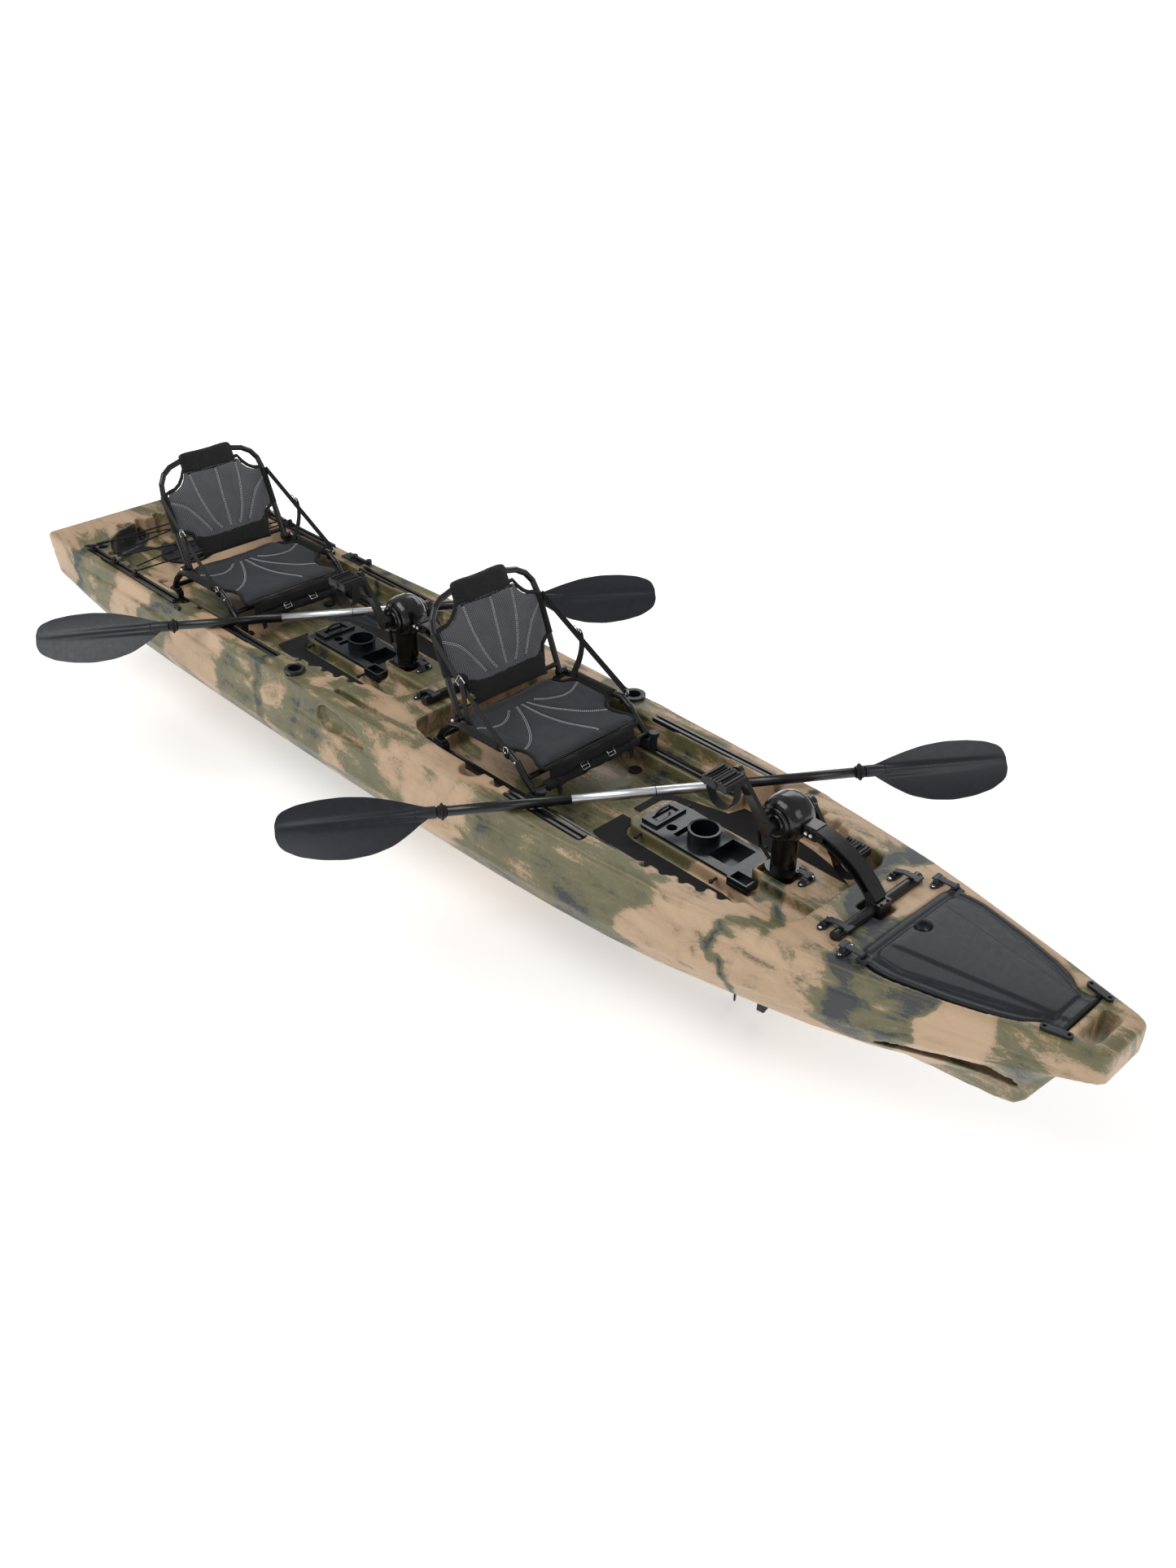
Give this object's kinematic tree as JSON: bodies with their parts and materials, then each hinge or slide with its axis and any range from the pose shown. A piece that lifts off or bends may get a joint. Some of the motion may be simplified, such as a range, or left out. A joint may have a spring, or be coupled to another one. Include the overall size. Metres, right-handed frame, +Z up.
{
  "type": "tandem pedal fishing kayak",
  "caption": "Sit-on-top tandem fishing kayak: moulded camouflage hull, pedal drives, framed seats on rails, console trays, paddles, bow hatch and hand-steered rudder.",
  "frame": {"origin": "on the keel line at mid length of the hull, on the flat of the keel", "axes": "+X to the bow, +Y to port, +Z up"},
  "size_m": [4.542, 1.8431, 1.0043],
  "materials": {
    "hull_plastic": "rotomoulded, mottled",
    "rubber_black": "matt",
    "moulded_black": "satin",
    "latch_grey": "satin",
    "stainless": "brushed",
    "anodised_black": "semi-gloss black",
    "eva_foam": "matt foam",
    "cord": "braided",
    "hatch_cover_plastic": "fine grain",
    "drive_gloss": "gloss black",
    "tray_gloss": "gloss black",
    "seat_fabric": "woven mesh",
    "webbing": "woven webbing",
    "clamp_plastic": "satin",
    "paddle_aluminium": "satin",
    "paddle_blade_plastic": "satin"
  },
  "bodies": {
    "hull_assembly": {"hull": "hull_plastic", "bow_hatch_seal": "rubber_black", "hatch_hinges": "moulded_black", "latch_bases": "latch_grey", "latch_screws": "stainless", "seat_rails": "anodised_black", "gear_tracks": "anodised_black", "floor_pads": "eva_foam", "scupper_plugs": "rubber_black", "rod_holders": "moulded_black", "bungee_anchors": "moulded_black", "tank_bungee": "cord", "rudder_bracket": "moulded_black"},
    "bow_hatch": {"bow_hatch_cover": "hatch_cover_plastic"},
    "hatch_latch_starboard": {"hatch_latch_starboard": "latch_grey"},
    "hatch_latch_port": {"hatch_latch_port": "latch_grey"},
    "tank_hatch": {"tank_hatch_lid": "moulded_black"},
    "front_tbar_latch_starboard": {"front_tbar_latch_starboard": "latch_grey"},
    "front_tbar_latch_port": {"front_tbar_latch_port": "latch_grey"},
    "front_base_latch": {"front_base_latch": "latch_grey"},
    "rear_tbar_latch_starboard": {"rear_tbar_latch_starboard": "latch_grey"},
    "rear_tbar_latch_port": {"rear_tbar_latch_port": "latch_grey"},
    "rear_base_latch": {"rear_base_latch": "latch_grey"},
    "steering_lever": {"steering_lever": "moulded_black"},
    "rudder_head": {"rudder_head": "moulded_black"},
    "rudder_blade": {"rudder_blade": "moulded_black"},
    "front_drive": {"front_drive_housing": "drive_gloss", "front_arch_arm": "anodised_black", "front_t_bar": "anodised_black"},
    "front_crankset": {"front_crankset": "anodised_black"},
    "front_pedal_starboard": {"front_pedal_starboard": "moulded_black"},
    "front_pedal_port": {"front_pedal_port": "moulded_black"},
    "front_drive_shaft": {"front_drive_shaft": "stainless"},
    "front_propeller": {"front_propeller": "moulded_black"},
    "rear_drive": {"rear_drive_housing": "drive_gloss", "rear_arch_arm": "anodised_black", "rear_t_bar": "anodised_black"},
    "rear_crankset": {"rear_crankset": "anodised_black"},
    "rear_pedal_starboard": {"rear_pedal_starboard": "moulded_black"},
    "rear_pedal_port": {"rear_pedal_port": "moulded_black"},
    "rear_drive_shaft": {"rear_drive_shaft": "stainless"},
    "rear_propeller": {"rear_propeller": "moulded_black"},
    "front_seat_base": {"front_seat_base_frame": "anodised_black", "front_seat_base_sling": "seat_fabric", "front_seat_straps": "webbing", "front_seat_clamps": "clamp_plastic"},
    "front_seat_back": {"front_seat_back_frame": "anodised_black", "front_seat_back_panel": "seat_fabric"},
    "rear_seat_base": {"rear_seat_base_frame": "anodised_black", "rear_seat_base_sling": "seat_fabric", "rear_seat_straps": "webbing", "rear_seat_clamps": "clamp_plastic"},
    "rear_seat_back": {"rear_seat_back_frame": "anodised_black", "rear_seat_back_panel": "seat_fabric"},
    "front_tray": {"front_tray": "tray_gloss"},
    "front_paddle": {"front_paddle_shaft": "paddle_aluminium", "front_paddle_blades": "paddle_blade_plastic"},
    "rear_tray": {"rear_tray": "tray_gloss"},
    "rear_paddle": {"rear_paddle_shaft": "paddle_aluminium", "rear_paddle_blades": "paddle_blade_plastic"}
  },
  "joints": [
    {"name": "bow_hatch_hinge", "type": "hinge", "parent": "hull_assembly", "child": "bow_hatch", "pos_m": [2.04, 0, 0.384], "axis": [0, 1, 0], "range_deg": [0, 100]},
    {"name": "hatch_latch_starboard_flip", "type": "hinge", "parent": "bow_hatch", "child": "hatch_latch_starboard", "pos_m": [1.562, -0.202, 0.3915], "axis": [0, 1, 0], "range_deg": [0, 100]},
    {"name": "hatch_latch_port_flip", "type": "hinge", "parent": "bow_hatch", "child": "hatch_latch_port", "pos_m": [1.562, 0.202, 0.3915], "axis": [0, 1, 0], "range_deg": [0, 100]},
    {"name": "tank_hatch_twist", "type": "hinge", "parent": "hull_assembly", "child": "tank_hatch", "pos_m": [-1.85, 0, 0.27], "axis": [0, 0, 1], "range_deg": [0, 60]},
    {"name": "front_tbar_latch_starboard_flip", "type": "hinge", "parent": "hull_assembly", "child": "front_tbar_latch_starboard", "pos_m": [1.412, -0.15, 0.38398], "axis": [0, -1, 0], "range_deg": [0, 100]},
    {"name": "front_tbar_latch_port_flip", "type": "hinge", "parent": "hull_assembly", "child": "front_tbar_latch_port", "pos_m": [1.412, 0.15, 0.38398], "axis": [0, -1, 0], "range_deg": [0, 100]},
    {"name": "rear_tbar_latch_starboard_flip", "type": "hinge", "parent": "hull_assembly", "child": "rear_tbar_latch_starboard", "pos_m": [-0.201, -0.15, 0.37745], "axis": [0, -1, 0], "range_deg": [0, 100]},
    {"name": "rear_tbar_latch_port_flip", "type": "hinge", "parent": "hull_assembly", "child": "rear_tbar_latch_port", "pos_m": [-0.201, 0.15, 0.37745], "axis": [0, -1, 0], "range_deg": [0, 100]},
    {"name": "rudder_steer", "type": "hinge", "parent": "hull_assembly", "child": "rudder_head", "pos_m": [-2.22, 0, 0.2], "axis": [0, 0, 1], "range_deg": [-35, 35]},
    {"name": "steering_lever_swing", "type": "hinge", "parent": "hull_assembly", "child": "steering_lever", "pos_m": [-1.212, 0.344, 0.36], "axis": [0, 0, 1], "range_deg": [-35, 35]},
    {"name": "rudder_lift", "type": "hinge", "parent": "rudder_head", "child": "rudder_blade", "pos_m": [-2.266, 0, 0.178], "axis": [0, 1, 0], "range_deg": [0, 80]},
    {"name": "front_drive_tilt", "type": "hinge", "parent": "hull_assembly", "child": "front_drive", "pos_m": [1.462, 0, 0.381], "axis": [0, 1, 0], "range_deg": [0, 12]},
    {"name": "front_base_latch_flip", "type": "hinge", "parent": "front_drive", "child": "front_base_latch", "pos_m": [1.208, 0, 0.355], "axis": [0, -1, 0], "range_deg": [0, 100]},
    {"name": "front_crank_turn", "type": "hinge", "parent": "front_drive", "child": "front_crankset", "pos_m": [1.154, 0, 0.509], "axis": [0, 1, 0], "continuous": true},
    {"name": "front_pedal_starboard_spin", "type": "hinge", "parent": "front_crankset", "child": "front_pedal_starboard", "pos_m": [1.04473, -0.15, 0.63923], "axis": [0, 1, 0], "continuous": true},
    {"name": "front_pedal_port_spin", "type": "hinge", "parent": "front_crankset", "child": "front_pedal_port", "pos_m": [1.26327, 0.15, 0.37877], "axis": [0, 1, 0], "continuous": true},
    {"name": "front_shaft_turn", "type": "hinge", "parent": "front_drive", "child": "front_drive_shaft", "pos_m": [1.154, 0, 0.2], "axis": [0, 0, 1], "continuous": true},
    {"name": "front_propeller_turn", "type": "hinge", "parent": "front_drive", "child": "front_propeller", "pos_m": [1.034, 0, -0.115], "axis": [1, 0, 0], "continuous": true},
    {"name": "rear_drive_tilt", "type": "hinge", "parent": "hull_assembly", "child": "rear_drive", "pos_m": [-0.151, 0, 0.381], "axis": [0, 1, 0], "range_deg": [0, 12]},
    {"name": "rear_base_latch_flip", "type": "hinge", "parent": "rear_drive", "child": "rear_base_latch", "pos_m": [-0.405, 0, 0.355], "axis": [0, -1, 0], "range_deg": [0, 100]},
    {"name": "rear_crank_turn", "type": "hinge", "parent": "rear_drive", "child": "rear_crankset", "pos_m": [-0.459, 0, 0.509], "axis": [0, 1, 0], "continuous": true},
    {"name": "rear_pedal_starboard_spin", "type": "hinge", "parent": "rear_crankset", "child": "rear_pedal_starboard", "pos_m": [-0.56827, -0.15, 0.63923], "axis": [0, 1, 0], "continuous": true},
    {"name": "rear_pedal_port_spin", "type": "hinge", "parent": "rear_crankset", "child": "rear_pedal_port", "pos_m": [-0.34973, 0.15, 0.37877], "axis": [0, 1, 0], "continuous": true},
    {"name": "rear_shaft_turn", "type": "hinge", "parent": "rear_drive", "child": "rear_drive_shaft", "pos_m": [-0.459, 0, 0.2], "axis": [0, 0, 1], "continuous": true},
    {"name": "rear_propeller_turn", "type": "hinge", "parent": "rear_drive", "child": "rear_propeller", "pos_m": [-0.579, 0, -0.115], "axis": [1, 0, 0], "continuous": true},
    {"name": "front_seat_slide", "type": "slide", "parent": "hull_assembly", "child": "front_seat_base", "axis": [1, 0, 0], "range_m": [-0.03, 0.06]},
    {"name": "front_seat_recline", "type": "hinge", "parent": "front_seat_base", "child": "front_seat_back", "pos_m": [0.056, 0, 0.422], "axis": [0, 1, 0], "range_deg": [-12, 75]},
    {"name": "rear_seat_slide", "type": "slide", "parent": "hull_assembly", "child": "rear_seat_base", "axis": [1, 0, 0], "range_m": [-0.06, 0.06]},
    {"name": "rear_seat_recline", "type": "hinge", "parent": "rear_seat_base", "child": "rear_seat_back", "pos_m": [-1.47, 0, 0.4], "axis": [0, 1, 0], "range_deg": [-12, 75]},
    {"name": "front_tray_lift", "type": "slide", "parent": "hull_assembly", "child": "front_tray", "axis": [0, 0, 1], "range_m": [0, 0.04]},
    {"name": "front_paddle_lift", "type": "slide", "parent": "hull_assembly", "child": "front_paddle", "axis": [0, 0, 1], "range_m": [0, 0.3]},
    {"name": "rear_tray_lift", "type": "slide", "parent": "hull_assembly", "child": "rear_tray", "axis": [0, 0, 1], "range_m": [0, 0.04]},
    {"name": "rear_paddle_lift", "type": "slide", "parent": "hull_assembly", "child": "rear_paddle", "axis": [0, 0, 1], "range_m": [0, 0.3]}
  ],
  "couplings": [
    {"joint": "steering_lever_swing", "follows": "rudder_steer", "ratio": 1},
    {"joint": "front_shaft_turn", "follows": "front_crank_turn", "ratio": 4},
    {"joint": "front_propeller_turn", "follows": "front_crank_turn", "ratio": 8},
    {"joint": "rear_shaft_turn", "follows": "rear_crank_turn", "ratio": 4},
    {"joint": "rear_propeller_turn", "follows": "rear_crank_turn", "ratio": 8}
  ]
}
